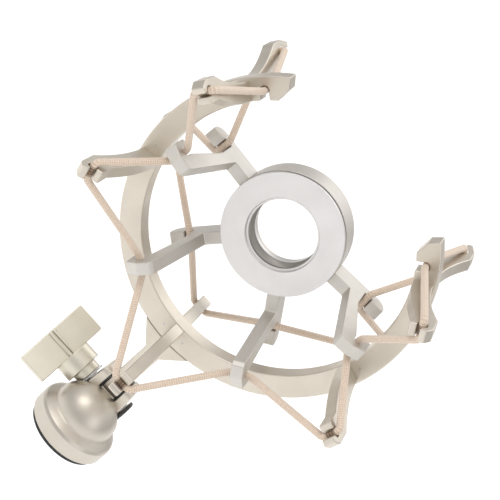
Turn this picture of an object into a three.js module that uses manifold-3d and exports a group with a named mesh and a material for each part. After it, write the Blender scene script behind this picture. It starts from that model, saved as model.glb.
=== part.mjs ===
// Elastic shock mount for a studio microphone, on a tilting stand base.
// Millimetres, +Z up. The stand thread opens downwards at the origin, the front is -Y.
import * as THREE from 'three';
import * as BufferUtils from 'three/addons/utils/BufferGeometryUtils.js';
import Module from 'manifold-3d';

// ---- stand base -----------------------------------------------------------
const COLLAR_RADIUS = 15.0;
const COLLAR_HEIGHT = 5.6;
const SHOULDER_HEIGHT = 8.2;
const DOME_RADIUS = 11.7;
const DOME_HEIGHT = 8.8; // height of the centre of the dome
const SOCKET_RADIUS = 7.9; // bore for the thread bush
const SOCKET_DEPTH = 11.0;
const BUSH_RADIUS = 7.6;
const BUSH_BORE = 4.4;
const FOOT_RING_OUTER = 13.9;
const FOOT_RING_INNER = 9.4;
const FOOT_RING_DEPTH = 1.5;
const FOOT_RING_PROUD = 1.6;

// ---- tilting joint ----------------------------------------------------------
const HINGE_Y = 6.0; // the joint and the suspension stand this far behind the thread axis
const HINGE_Z = 17.1;
const TONGUE_HALF = 3.1; // half width of the stem between the ears
const TONGUE_HEAD = 4.4;
const LINER_INNER = 3.2;
const LINER_OUTER = 3.65;
const EAR_INNER = 3.75;
const EAR_OUTER = 7.7;
const EAR_CROWN = 6.4; // half width over both ears at their top
const EAR_DEPTH = 5.0; // half depth of an ear, front to back
const EAR_TOP = 9.8; // top of an ear above the joint axis
const EAR_CORNER = 3.0;
const BOLT_RADIUS = 2.5;
const BOLT_HOLE = 2.8;

// ---- outer frame --------------------------------------------------------------
const HUB_Z = HINGE_Z + 84.3; // height of the axis of the suspension
const RING_INNER = 45.0;
const RING_OUTER = 52.7;
const RING_HALF = 3.5; // half thickness of the ring plate
const RING_END = 139.5; // degrees from straight down to each free end
const NOTCH_ANGLE = 130.0;
const NOTCH_END = 48.1; // radius of the centre of the notch's round end
const BOW_ANGLES = [-122.3, -75.3, 0, 75.3, 122.3];
const BOW_NAMES = ['bow_end_left', 'bow_side_left', 'bow_stem', 'bow_side_right', 'bow_end_right'];
const BOW_HALF = 2.0; // half width of a bow
const STEM_THICK = 3.5; // half thickness of the stem plate

// ---- inner cradle -----------------------------------------------------------
const HUB_FRONT = -6.6; // positions along the axis, counted forwards from the ring plane
const HUB_REAR = -17.1;
const HUB_RADIUS = 20.9;
const HUB_BORE = 16.8;
const HUB_LIP = 11.7;
const NUT_FRONT = -4.2;
const NUT_RADIUS = 20.7;
const NUT_SLEEVE = 16.5;
const NUT_BORE = 11.4;
const ARM_ANGLES = [-94.5, -36, 36, 94.5];
const ARM_NAMES = ['arm_upper_left', 'arm_lower_left', 'arm_lower_right', 'arm_upper_right'];
const ARM_HALF = 2.1;

// ---- cord ---------------------------------------------------------------------
const CORD_RADIUS = 1.2;
const CORD_SIDES = 8;
const CORD_GAP = 0.15; // half the gap between two neighbouring lengths
const SLOT_HALF = 1.45; // half width of every slot that holds the cord
const FIT = 0.1; // clearance between pieces that are screwed together
const BOW_CORD_R = 54.8; // where the cord lies in the fork of a bow
const BOW_FRONT_W = 39.8;
const BOW_REAR_W = 38.0;
const FRONT_CORD_R = 39.4; // where it lies in the front hook of an arm
const FRONT_CORD_W = 21.1;
const REAR_CORD_R = 34.05; // and in the rear hook
const REAR_CORD_W = -12.2;

const ROUND = 64; // facets round a large turned piece
const SMALL_ROUND = 32;

const wasm = await Module();
wasm.setup();

const root = new THREE.Group();
root.name = 'shock_mount';

const FINISH = {
  champagne: { color: 0xd9d2c5, roughness: 0.38, metalness: 0.85 },
  bright: { color: 0xe6e3e0, roughness: 0.3, metalness: 0.8 },
  steel: { color: 0xb4b4b2, roughness: 0.3, metalness: 1.0 },
  brass: { color: 0xc9a961, roughness: 0.35, metalness: 1.0 },
  black: { color: 0x17171a, roughness: 0.75, metalness: 0.0 },
  cord: { color: 0xe4cdb9, roughness: 0.9, metalness: 0.0 },
};

// ---- small helpers ------------------------------------------------------------
const radians = (degrees) => (degrees * Math.PI) / 180;

function add(name, geometry, finish) {
  const mesh = new THREE.Mesh(geometry, new THREE.MeshStandardMaterial(FINISH[finish]));
  mesh.name = name;
  root.add(mesh);
}

function toSolid(geometry) {
  const bare = geometry.index ? geometry.toNonIndexed() : geometry.clone();
  bare.deleteAttribute('normal');
  bare.deleteAttribute('uv');
  const merged = BufferUtils.mergeVertices(bare, 1e-5);
  const mesh = new wasm.Mesh({
    numProp: 3,
    vertProperties: new Float32Array(merged.attributes.position.array),
    triVerts: new Uint32Array(merged.index.array),
  });
  return new wasm.Manifold(mesh);
}

function toGeometry(solid) {
  const mesh = solid.getMesh();
  const geometry = new THREE.BufferGeometry();
  geometry.setAttribute('position', new THREE.BufferAttribute(new Float32Array(mesh.vertProperties), 3));
  geometry.setIndex(new THREE.BufferAttribute(new Uint32Array(mesh.triVerts), 1));
  geometry.computeVertexNormals();
  return geometry;
}

// A turned piece: profile of [radius, height] pairs, axis along +Z.
function turned(profile, facets = ROUND) {
  const points = profile.map(([radius, height]) => new THREE.Vector2(radius, height));
  points.push(points[0].clone());
  const geometry = new THREE.LatheGeometry(points, facets);
  geometry.rotateX(Math.PI / 2);
  return geometry;
}

// A turned piece whose axis is the joint axis; heights count along +X.
function turnedOnHinge(profile, facets = SMALL_ROUND) {
  const geometry = turned(profile, facets);
  geometry.rotateY(Math.PI / 2);
  geometry.translate(0, HINGE_Y, HINGE_Z);
  return geometry;
}

// A turned piece whose axis is the suspension axis; heights count forwards.
function turnedOnHub(profile, facets = ROUND) {
  const geometry = turned(profile, facets);
  geometry.rotateX(Math.PI / 2);
  geometry.translate(0, HINGE_Y, HUB_Z);
  return geometry;
}

// Directions of a radial plane of the suspension: outwards, forwards, sideways.
function radialPlane(degrees) {
  const angle = radians(degrees);
  const outward = new THREE.Vector3(Math.sin(angle), 0, -Math.cos(angle));
  const forward = new THREE.Vector3(0, -1, 0);
  const sideways = new THREE.Vector3(Math.cos(angle), 0, Math.sin(angle));
  return { outward, forward, sideways };
}

// A point of the suspension: radius, position forwards, offset sideways, angle.
function hubPoint(radius, forwards, offset, degrees) {
  const { outward, forward, sideways } = radialPlane(degrees);
  const point = new THREE.Vector3(0, HINGE_Y, HUB_Z);
  point.addScaledVector(outward, radius);
  point.addScaledVector(forward, forwards);
  point.addScaledVector(sideways, offset);
  return point;
}

// A flat plate standing in a radial plane, drawn in radius and position forwards.
function radialPlate(shape, half, degrees, curveSegments = 6) {
  const geometry = new THREE.ExtrudeGeometry(shape, {
    depth: 2 * half,
    bevelEnabled: false,
    curveSegments,
  });
  geometry.translate(0, 0, -half);
  const { outward, forward, sideways } = radialPlane(degrees);
  const basis = new THREE.Matrix4().makeBasis(outward, forward, sideways.negate());
  basis.setPosition(0, HINGE_Y, HUB_Z);
  geometry.applyMatrix4(basis);
  return geometry;
}

// A flat plate parallel to the ring, drawn seen from the front.
function ringPlate(shape, half, curveSegments = 8) {
  const geometry = new THREE.ExtrudeGeometry(shape, {
    depth: 2 * half,
    bevelEnabled: false,
    curveSegments,
  });
  geometry.translate(0, 0, -half);
  geometry.rotateX(Math.PI / 2);
  geometry.translate(0, HINGE_Y, HUB_Z);
  return geometry;
}

// A flat plate square to the joint axis, drawn as backwards and up from the axis.
function hingePlate(shape, from, to, curveSegments = 8) {
  const geometry = new THREE.ExtrudeGeometry(shape, {
    depth: to - from,
    bevelEnabled: false,
    curveSegments,
  });
  const basis = new THREE.Matrix4().makeBasis(
    new THREE.Vector3(0, 1, 0),
    new THREE.Vector3(0, 0, 1),
    new THREE.Vector3(1, 0, 0),
  );
  basis.setPosition(from, HINGE_Y, HINGE_Z);
  geometry.applyMatrix4(basis);
  return geometry;
}

function rod(radius, from, to, facets = SMALL_ROUND) {
  return turnedOnHinge([[0, from], [radius, from], [radius, to], [0, to]], facets);
}

// ---- stand base -----------------------------------------------------------
function domeProfile() {
  const profile = [
    [SOCKET_RADIUS, FOOT_RING_DEPTH],
    [FOOT_RING_OUTER + 0.2, FOOT_RING_DEPTH],
    [FOOT_RING_OUTER + 0.2, 0],
    [COLLAR_RADIUS - 0.6, 0],
    [COLLAR_RADIUS, 0.6],
    [COLLAR_RADIUS, COLLAR_HEIGHT],
    [COLLAR_RADIUS - 0.5, COLLAR_HEIGHT + 1.1],
    [COLLAR_RADIUS - 1.8, SHOULDER_HEIGHT - 0.5],
    [DOME_RADIUS + 0.7, SHOULDER_HEIGHT],
    [DOME_RADIUS, SHOULDER_HEIGHT + 0.5],
  ];
  const steps = 10;
  for (let step = 1; step < steps; step += 1) {
    const rise = (step / steps) * (Math.PI / 2);
    profile.push([DOME_RADIUS * Math.cos(rise), DOME_HEIGHT + DOME_RADIUS * Math.sin(rise)]);
  }
  profile.push([0, DOME_HEIGHT + DOME_RADIUS]);
  profile.push([0, SOCKET_DEPTH]);
  profile.push([SOCKET_RADIUS, SOCKET_DEPTH]);
  return profile;
}

function earShape(inset = 0) {
  const depth = EAR_DEPTH - inset;
  const top = EAR_TOP - inset;
  const shape = new THREE.Shape();
  shape.moveTo(-depth, -8);
  shape.lineTo(depth, -8);
  shape.lineTo(depth, top - EAR_CORNER);
  shape.quadraticCurveTo(depth, top, depth - EAR_CORNER, top);
  shape.lineTo(-depth + EAR_CORNER, top);
  shape.quadraticCurveTo(-depth, top, -depth, top - EAR_CORNER);
  shape.closePath();
  return shape;
}

function linerShape() {
  const depth = EAR_DEPTH - 0.3;
  const top = EAR_TOP - 0.3;
  const shape = new THREE.Shape();
  shape.moveTo(-depth, 0);
  shape.absarc(0, 0, depth, Math.PI, 2 * Math.PI, false);
  shape.lineTo(depth, top - EAR_CORNER);
  shape.quadraticCurveTo(depth, top, depth - EAR_CORNER, top);
  shape.lineTo(-depth + EAR_CORNER, top);
  shape.quadraticCurveTo(-depth, top, -depth, top - EAR_CORNER);
  shape.closePath();
  const hole = new THREE.Path();
  hole.absarc(0, 0, BOLT_HOLE, 0, 2 * Math.PI, true);
  shape.holes.push(hole);
  return shape;
}

// The gap for the tongue: round at the bottom, open upwards and to the back.
function slotShape() {
  const reach = TONGUE_HEAD + 0.5;
  const shape = new THREE.Shape();
  shape.moveTo(-reach, 30);
  shape.lineTo(-reach, 0);
  shape.absarc(0, 0, reach, Math.PI, 1.5 * Math.PI, false);
  shape.lineTo(30, -reach);
  shape.lineTo(30, 30);
  shape.closePath();
  return shape;
}

// An ear: rounded seen along the joint axis, thinner towards its top seen from the front.
function ear(side) {
  const plate = toSolid(side < 0
    ? hingePlate(earShape(), -EAR_OUTER, -EAR_INNER)
    : hingePlate(earShape(), EAR_INNER, EAR_OUTER));
  const taper = new THREE.Shape();
  taper.moveTo(0, -20);
  taper.lineTo(side * EAR_OUTER, -20);
  taper.lineTo(side * EAR_OUTER, 2);
  taper.lineTo(side * EAR_CROWN, EAR_TOP);
  taper.lineTo(side * EAR_CROWN, 20);
  taper.lineTo(0, 20);
  taper.closePath();
  const geometry = new THREE.ExtrudeGeometry(taper, { depth: 20, bevelEnabled: false });
  geometry.translate(0, 0, -10);
  geometry.rotateX(Math.PI / 2);
  geometry.translate(0, HINGE_Y, HINGE_Z);
  return plate.intersect(toSolid(geometry));
}

function standBase() {
  let solid = toSolid(turned(domeProfile()));
  const socket = toSolid(turned([
    [0, -5],
    [SOCKET_RADIUS + 1, -5],
    [SOCKET_RADIUS + 1, FOOT_RING_DEPTH + 0.5],
    [SOCKET_RADIUS, SOCKET_DEPTH],
    [0, SOCKET_DEPTH],
  ]));
  solid = solid.subtract(toSolid(hingePlate(slotShape(), -EAR_INNER, EAR_INNER)));
  solid = solid.add(ear(-1)).add(ear(1)).subtract(socket);
  solid = solid.subtract(toSolid(rod(BOLT_HOLE, -20, 20)));
  const seat = KEY_COLLAR_RADIUS + 1.0; // flat seats cut in the dome beside the ears
  solid = solid.subtract(toSolid(rod(seat, -20, -EAR_OUTER)));
  solid = solid.subtract(toSolid(rod(seat, EAR_OUTER, 20)));
  return toGeometry(solid);
}

function addStandBase() {
  add('stand_base', standBase(), 'champagne');
  add('foot_ring', turned([
    [FOOT_RING_INNER, -FOOT_RING_PROUD],
    [FOOT_RING_OUTER - 0.4, -FOOT_RING_PROUD],
    [FOOT_RING_OUTER, -FOOT_RING_PROUD + 0.4],
    [FOOT_RING_OUTER, FOOT_RING_DEPTH - 0.1],
    [FOOT_RING_INNER, FOOT_RING_DEPTH - 0.1],
  ]), 'black');
  add('thread_bush', turned([
    [BUSH_BORE + 0.6, FOOT_RING_DEPTH - 1.2],
    [BUSH_RADIUS - 0.6, FOOT_RING_DEPTH - 1.2],
    [BUSH_RADIUS, FOOT_RING_DEPTH - 0.6],
    [BUSH_RADIUS, SOCKET_DEPTH - 0.3],
    [BUSH_BORE, SOCKET_DEPTH - 0.3],
    [BUSH_BORE, FOOT_RING_DEPTH - 0.6],
  ], SMALL_ROUND), 'brass');
  add('liner_left', hingePlate(linerShape(), -LINER_OUTER, -LINER_INNER), 'black');
  add('liner_right', hingePlate(linerShape(), LINER_INNER, LINER_OUTER), 'black');
}

// ---- clamp screw ------------------------------------------------------------
const KEY_PLATE_NEAR = 17.4; // distances along the joint axis, to the left
const KEY_PLATE_FAR = 28.4;
const KEY_PLATE_HALF = 14.0;
const KEY_PLATE_THICK = 1.3;
const KEY_HUB_RADIUS = 6.6;
const KEY_HUB_NEAR = 11.5;
const KEY_COLLAR_RADIUS = 4.6;
const KEY_NEAR = 8.5;
const KEY_TURN = 42.0; // degrees the wings stand turned from level
const KEY_RIB_HALF = 1.1;
const KEY_RIB_PROUD = 0.8;
const LOCK_NUT_RADIUS = 4.1;

function keyBox(half, thick, near, far) {
  const geometry = new THREE.BoxGeometry(far - near, 2 * half, 2 * thick);
  geometry.translate(-(near + far) / 2, 0, 0);
  return geometry;
}

function wingKey() {
  const plate = toSolid(keyBox(KEY_PLATE_HALF, KEY_PLATE_THICK, KEY_PLATE_NEAR, KEY_PLATE_FAR));
  const rib = toSolid(keyBox(
    KEY_RIB_HALF,
    KEY_PLATE_THICK + KEY_RIB_PROUD,
    KEY_PLATE_NEAR - 0.5,
    KEY_PLATE_FAR - 0.2,
  ));
  const wings = toGeometry(plate.add(rib));
  wings.rotateX(radians(KEY_TURN));
  wings.translate(0, HINGE_Y, HINGE_Z);
  const body = toSolid(turnedOnHinge([
    [BOLT_RADIUS + 0.1, -KEY_PLATE_NEAR + 2],
    [BOLT_RADIUS + 0.1, -KEY_NEAR],
    [KEY_COLLAR_RADIUS, -KEY_NEAR],
    [KEY_COLLAR_RADIUS, -KEY_HUB_NEAR],
    [KEY_HUB_RADIUS, -KEY_HUB_NEAR],
    [KEY_HUB_RADIUS, -KEY_PLATE_NEAR - 0.1],
    [0, -KEY_PLATE_NEAR - 0.1],
    [0, -KEY_PLATE_NEAR + 2],
  ].reverse()));
  return toGeometry(toSolid(wings).add(body));
}

function addClampScrew() {
  add('wing_key', wingKey(), 'champagne');
  add('clamp_bolt', turnedOnHinge([
    [0, -KEY_PLATE_NEAR + 2.2],
    [BOLT_RADIUS, -KEY_PLATE_NEAR + 2.2],
    [BOLT_RADIUS, 8.8],
    [BOLT_RADIUS - 0.4, 9.2],
    [0, 9.2],
  ], 24), 'steel');
  add('thrust_washer', turnedOnHinge([
    [BOLT_HOLE, -KEY_NEAR + 0.1],
    [KEY_COLLAR_RADIUS + 0.6, -KEY_NEAR + 0.1],
    [KEY_COLLAR_RADIUS + 0.6, -EAR_OUTER - 0.1],
    [BOLT_HOLE, -EAR_OUTER - 0.1],
  ]), 'steel');
  add('lock_nut', turnedOnHinge([
    [BOLT_HOLE, EAR_OUTER + 0.1],
    [LOCK_NUT_RADIUS, EAR_OUTER + 0.1],
    [LOCK_NUT_RADIUS, EAR_OUTER + 0.9],
    [LOCK_NUT_RADIUS - 0.5, EAR_OUTER + 1.4],
    [BOLT_HOLE, EAR_OUTER + 1.4],
  ], 24), 'black');
}

// ---- outer frame --------------------------------------------------------------
const polar = (radius, degrees) => [
  radius * Math.sin(radians(degrees)),
  -radius * Math.cos(radians(degrees)),
];

function arcPoints(radius, from, to, steps) {
  const points = [];
  for (let step = 0; step <= steps; step += 1) {
    points.push(polar(radius, from + ((to - from) * step) / steps));
  }
  return points;
}

// Outline of the notch that holds the cord, from the far side to the near side.
function notchPoints(side) {
  const turn = radians(side * NOTCH_ANGLE);
  const along = [Math.sin(turn), -Math.cos(turn)];
  const across = [Math.cos(turn) * side, Math.sin(turn) * side];
  const points = [];
  const steps = 6;
  for (let step = 0; step <= steps; step += 1) {
    const sweep = (step / steps) * Math.PI;
    const out = NOTCH_END + SLOT_HALF * Math.sin(sweep);
    const off = SLOT_HALF * Math.cos(sweep);
    points.push([along[0] * out + across[0] * off, along[1] * out + across[1] * off]);
  }
  return points;
}

function ringShape() {
  const mouth = (Math.asin(SLOT_HALF / RING_INNER) * 180) / Math.PI;
  const corner = 135.3; // where the bevel of the end meets the inner edge
  const bevel = 48.8; // radius where the bevel meets the end face
  const outline = [
    ...arcPoints(RING_OUTER, -RING_END, RING_END, 72),
    polar(bevel, RING_END),
    polar(RING_INNER, corner),
    polar(RING_INNER, NOTCH_ANGLE + mouth),
    ...notchPoints(1),
    ...arcPoints(RING_INNER, NOTCH_ANGLE - mouth, -NOTCH_ANGLE + mouth, 66),
    ...notchPoints(-1).reverse(),
    polar(RING_INNER, -NOTCH_ANGLE - mouth),
    polar(RING_INNER, -corner),
    polar(bevel, -RING_END),
  ];
  return new THREE.Shape(outline.map(([x, y]) => new THREE.Vector2(x, y)));
}

// One half of a bow, from the ring plate out to its fork; `fork` is where the cord lies.
function bowShape(fork, tip) {
  const foot = RING_HALF + FIT;
  const shape = new THREE.Shape();
  shape.moveTo(45.2, foot);
  shape.lineTo(51.7, foot);
  shape.quadraticCurveTo(51.9, fork - 20.8, 58.2, fork - 6.5);
  shape.lineTo(58.3, fork + 1.9);
  shape.lineTo(56.6, fork + tip);
  shape.lineTo(54.6, fork + tip - 0.5);
  shape.lineTo(54.9, fork + tip - 2.4);
  shape.lineTo(BOW_CORD_R + SLOT_HALF, fork + 1.5);
  shape.lineTo(BOW_CORD_R + SLOT_HALF, fork);
  shape.absarc(BOW_CORD_R, fork, SLOT_HALF, 0, Math.PI, true);
  shape.lineTo(BOW_CORD_R - SLOT_HALF, fork + 1.1);
  shape.lineTo(51.4, fork + 1.1);
  shape.lineTo(51.0, fork + 0.6);
  shape.lineTo(51.0, fork - 6.6);
  shape.quadraticCurveTo(45.6, fork - 20.8, 45.2, foot);
  return shape;
}

function mirrored(shape, segments) {
  const points = shape.getPoints(segments).map((point) => new THREE.Vector2(point.x, -point.y));
  return new THREE.Shape(points);
}

// The stem and its two webs, drawn seen from the front.
function stemShape() {
  const web = 11; // degrees to each side where a web leaves the ring
  const edge = arcPoints(RING_OUTER + 0.15, -web, web, 10);
  const outline = [
    ...edge,
    [TONGUE_HALF, -59.5],
    [TONGUE_HALF, -84.3],
    [-TONGUE_HALF, -84.3],
    [-TONGUE_HALF, -59.5],
  ];
  return new THREE.Shape(outline.map(([x, y]) => new THREE.Vector2(x, y)));
}

function stem() {
  let solid = toSolid(ringPlate(stemShape(), STEM_THICK));
  const head = new THREE.Shape();
  head.absarc(0, 0, TONGUE_HEAD, 0, 2 * Math.PI, false);
  solid = solid.add(toSolid(hingePlate(head, -TONGUE_HALF, TONGUE_HALF, 16)));
  solid = solid.subtract(toSolid(rod(BOLT_HOLE, -20, 20)));
  return toGeometry(solid);
}

function addFrame() {
  add('c_ring', ringPlate(ringShape(), RING_HALF), 'champagne');
  add('stem', stem(), 'champagne');
  BOW_ANGLES.forEach((degrees, index) => {
    const name = BOW_NAMES[index];
    const front = bowShape(BOW_FRONT_W, 4.8);
    const rear = mirrored(bowShape(BOW_REAR_W, 9.5), 6);
    add(`${name}_front`, radialPlate(front, BOW_HALF, degrees), 'champagne');
    add(`${name}_rear`, radialPlate(rear, BOW_HALF, degrees), 'champagne');
  });
}

// ---- inner cradle -----------------------------------------------------------
function hubRing() {
  return turnedOnHub([
    [HUB_BORE, HUB_FRONT],
    [HUB_BORE, -14.6],
    [HUB_LIP, -14.6],
    [HUB_LIP, HUB_REAR + 0.5],
    [HUB_LIP + 0.5, HUB_REAR],
    [HUB_RADIUS - 0.5, HUB_REAR],
    [HUB_RADIUS, HUB_REAR + 0.5],
    [HUB_RADIUS, HUB_FRONT],
  ]);
}

function threadNut() {
  return turnedOnHub([
    [NUT_BORE, -14.2],
    [NUT_SLEEVE, -14.2],
    [NUT_SLEEVE, HUB_FRONT + 0.2],
    [NUT_RADIUS, HUB_FRONT + 0.2],
    [NUT_RADIUS, NUT_FRONT - 0.4],
    [NUT_RADIUS - 0.4, NUT_FRONT],
    [NUT_BORE + 1.3, NUT_FRONT],
    [NUT_BORE, NUT_FRONT - 1.3],
  ]);
}

// A branch forwards and a short hook backwards on a common stub.
function armShape() {
  const shape = new THREE.Shape();
  shape.moveTo(18, HUB_REAR);
  shape.lineTo(36.6, HUB_REAR);
  shape.quadraticCurveTo(39.6, HUB_REAR, 40.7, -13.2);
  shape.lineTo(40.7, -10.8);
  shape.lineTo(35.5, -10.8);
  shape.lineTo(35.5, -12.2);
  shape.absarc(34.05, -12.2, 1.45, 0, Math.PI, true);
  shape.lineTo(32.6, -2.3);
  shape.lineTo(37.9, 18.5);
  shape.lineTo(37.95, 21.1);
  shape.absarc(39.4, 21.1, 1.45, Math.PI, 0, true);
  shape.lineTo(40.85, 16.2);
  shape.lineTo(43.0, 16.2);
  shape.lineTo(43.1, 24.0);
  shape.lineTo(38.9, 26.7);
  shape.lineTo(34.6, 26.7);
  shape.lineTo(33.6, 25.3);
  shape.lineTo(27.4, -6.9);
  shape.lineTo(18, -6.9);
  shape.closePath();
  return shape;
}

function arm(degrees) {
  const core = toSolid(turnedOnHub([
    [0, -40],
    [HUB_RADIUS + FIT, -40],
    [HUB_RADIUS + FIT, 0],
    [0, 0],
  ]));
  return toGeometry(toSolid(radialPlate(armShape(), ARM_HALF, degrees)).subtract(core));
}

function addCradle() {
  add('hub_ring', hubRing(), 'champagne');
  ARM_ANGLES.forEach((degrees, index) => add(ARM_NAMES[index], arm(degrees), 'champagne'));
  add('thread_nut', threadNut(), 'bright');
}

// ---- cord ---------------------------------------------------------------------
const BEND = 1.0; // how far outside a plate the cord starts to bend
const BEND_CUT = 0.8; // how far from a corner its rounding starts
const BEND_STEPS = 3;

// A path that keeps its own points, so bends can have more of them than straights.
class PointPath extends THREE.Curve {
  constructor(points) {
    super();
    this.points = points;
  }

  getPoint(t, target = new THREE.Vector3()) {
    const place = t * (this.points.length - 1);
    const index = Math.min(Math.floor(place), this.points.length - 2);
    return target.lerpVectors(this.points[index], this.points[index + 1], place - index);
  }

  getPointAt(u, target) {
    return this.getPoint(u, target);
  }

  getTangentAt(u, target = new THREE.Vector3()) {
    const index = Math.round(u * (this.points.length - 1));
    const before = this.points[Math.max(index - 1, 0)];
    const after = this.points[Math.min(index + 1, this.points.length - 1)];
    return target.subVectors(after, before).normalize();
  }
}

function roundedCorners(corners) {
  const points = [corners[0]];
  for (let index = 1; index < corners.length - 1; index += 1) {
    const corner = corners[index];
    const towards = (other) => {
      const offset = new THREE.Vector3().subVectors(other, corner);
      return offset.setLength(Math.min(BEND_CUT, offset.length() * 0.45)).add(corner);
    };
    const bend = new THREE.QuadraticBezierCurve3(
      towards(corners[index - 1]),
      corner,
      towards(corners[index + 1]),
    );
    points.push(...bend.getPoints(BEND_STEPS));
  }
  points.push(corners[corners.length - 1]);
  return points;
}

function cordSolid(corners) {
  const points = roundedCorners(corners);
  const section = new THREE.Shape();
  section.absarc(0, 0, CORD_RADIUS, 0, 2 * Math.PI, false);
  return new THREE.ExtrudeGeometry(section, {
    steps: points.length - 1,
    bevelEnabled: false,
    curveSegments: CORD_SIDES / 2,
    extrudePath: new PointPath(points),
  });
}

// From the middle of one bow, round the hook of an arm, to the middle of the next bow.
function suspensionCord(fromBow, armAngle, toBow, bowW, armR, armW) {
  const way = Math.sign(toBow - fromBow);
  const bowSide = way * (BOW_HALF + BEND);
  const armSide = way * (ARM_HALF + BEND);
  return cordSolid([
    hubPoint(BOW_CORD_R, bowW, way * CORD_GAP, fromBow),
    hubPoint(BOW_CORD_R, bowW, bowSide, fromBow),
    hubPoint(armR, armW, -armSide, armAngle),
    hubPoint(armR, armW, armSide, armAngle),
    hubPoint(BOW_CORD_R, bowW, -bowSide, toBow),
    hubPoint(BOW_CORD_R, bowW, -way * CORD_GAP, toBow),
  ]);
}

// From the last front fork, through the notch in the end of the ring, to the rear fork.
function endCord(side) {
  const bow = side * BOW_ANGLES[4];
  const notch = side * NOTCH_ANGLE;
  const out = side * (BOW_HALF + BEND + 0.4);
  const clear = RING_HALF + BEND;
  return cordSolid([
    hubPoint(BOW_CORD_R, BOW_FRONT_W, side * CORD_GAP, bow),
    hubPoint(BOW_CORD_R, BOW_FRONT_W, out, bow),
    hubPoint(NOTCH_END, clear, 0, notch),
    hubPoint(NOTCH_END, -clear, 0, notch),
    hubPoint(BOW_CORD_R, -BOW_REAR_W, out, bow),
    hubPoint(BOW_CORD_R, -BOW_REAR_W, side * CORD_GAP, bow),
  ]);
}

function addCord() {
  ARM_ANGLES.forEach((armAngle, index) => {
    const fromBow = BOW_ANGLES[index];
    const toBow = BOW_ANGLES[index + 1];
    const name = ARM_NAMES[index].replace('arm', 'cord');
    const front = suspensionCord(fromBow, armAngle, toBow, BOW_FRONT_W, FRONT_CORD_R, FRONT_CORD_W);
    const rear = suspensionCord(fromBow, armAngle, toBow, -BOW_REAR_W, REAR_CORD_R, REAR_CORD_W);
    add(`${name}_front`, front, 'cord');
    add(`${name}_rear`, rear, 'cord');
  });
  add('cord_end_left', endCord(-1), 'cord');
  add('cord_end_right', endCord(1), 'cord');
}

addStandBase();
addClampScrew();
addFrame();
addCradle();
addCord();

export default root;
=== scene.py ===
"""Looks for a microphone shock mount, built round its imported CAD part. Sizes are in millimetres."""

import math

import bmesh
import bpy
import numpy as np
from mathutils import Matrix, Vector


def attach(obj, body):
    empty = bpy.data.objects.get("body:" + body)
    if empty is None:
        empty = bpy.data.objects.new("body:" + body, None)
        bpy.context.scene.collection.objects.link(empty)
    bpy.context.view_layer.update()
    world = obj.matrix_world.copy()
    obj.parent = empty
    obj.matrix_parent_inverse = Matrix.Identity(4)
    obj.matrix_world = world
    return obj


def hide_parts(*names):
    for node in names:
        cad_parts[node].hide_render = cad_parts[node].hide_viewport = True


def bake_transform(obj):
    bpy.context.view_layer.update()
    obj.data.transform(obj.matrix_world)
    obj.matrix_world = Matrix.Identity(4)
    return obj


MM = 0.001

# ---- camera: its place and the directions of its picture's right and down sides -------
CAMERA_PLACE = Vector((-0.00825, -0.4455, 0.28046))
PICTURE_RIGHT = Vector((0.674, 0.279, 0.684))
PICTURE_DOWN = Vector((0.738, -0.267, -0.619))
CAMERA_LENS = 109.9
FLOOR_Z = -0.25

# ---- stand base and tilting joint ---------------------------------------------------
COLLAR_RADIUS = 15.0
COLLAR_HEIGHT = 5.6
SHOULDER_HEIGHT = 8.2
DOME_RADIUS = 11.7
DOME_HEIGHT = 8.8
SOCKET_RADIUS = 7.9
SOCKET_DEPTH = 11.0
BUSH_RADIUS = 7.6
BUSH_BORE = 4.4
BUSH_PITCH = 1.5875
FOOT_RING_OUTER = 13.9
FOOT_RING_INNER = 9.4
FOOT_RING_DEPTH = 1.5
FOOT_RING_PROUD = 1.6
HINGE_Y = 6.0
HINGE_Z = 17.1
TONGUE_HALF = 3.1
TONGUE_HEAD = 4.4
EAR_INNER = 3.75
EAR_OUTER = 7.7
EAR_CROWN = 6.4
EAR_DEPTH = 5.0
EAR_TOP = 9.8
EAR_CORNER = 3.0
BOLT_HOLE = 2.8

# ---- clamp screw --------------------------------------------------------------------
KEY_PLATE_NEAR = 17.4
KEY_PLATE_FAR = 28.4
KEY_PLATE_HALF = 14.0
KEY_PLATE_THICK = 1.3
KEY_HUB_RADIUS = 6.6
KEY_HUB_NEAR = 11.5
KEY_COLLAR_RADIUS = 4.6
KEY_NEAR = 8.5
KEY_TURN = 42.0
KEY_RIB_HALF = 0.7
KEY_RIB_SHIFT = 0.8
KEY_RIB_PROUD = 0.8

# ---- outer frame --------------------------------------------------------------------
HUB_Z = HINGE_Z + 84.3
RING_INNER = 45.0
RING_OUTER = 52.7
RING_HALF = 3.5
RING_END = 139.5
NOTCH_ANGLE = 130.0
NOTCH_END = 48.1
SLOT_HALF = 1.45
BOW_ANGLES = (-122.3, -75.3, 0.0, 75.3, 122.3)
BOW_NAMES = ("bow_end_left", "bow_side_left", "bow_stem", "bow_side_right", "bow_end_right")
BOW_HALF = 2.0
FRONT_TIP = 4.8
REAR_TIP = 9.5
STEM_THICK = 3.5
PIN_RADIUS = 0.45

# ---- inner cradle -------------------------------------------------------------------
HUB_FRONT = -6.6
HUB_REAR = -17.1
HUB_RADIUS = 20.9
HUB_BORE = 16.8
HUB_LIP = 11.7
NUT_FRONT = -4.2
NUT_RADIUS = 20.7
NUT_SLEEVE = 16.5
NUT_GAP = 1.2
NUT_REAR = -14.2
NUT_LIP = -12.6
NUT_BORE = 11.4
NUT_PITCH = 0.95
ARM_ANGLES = (-94.5, -36.0, 36.0, 94.5)
ARM_NAMES = ("arm_upper_left", "arm_lower_left", "arm_lower_right", "arm_upper_right")
ARM_HALF = 2.1
ARM_ROOT = 20.6

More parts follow.
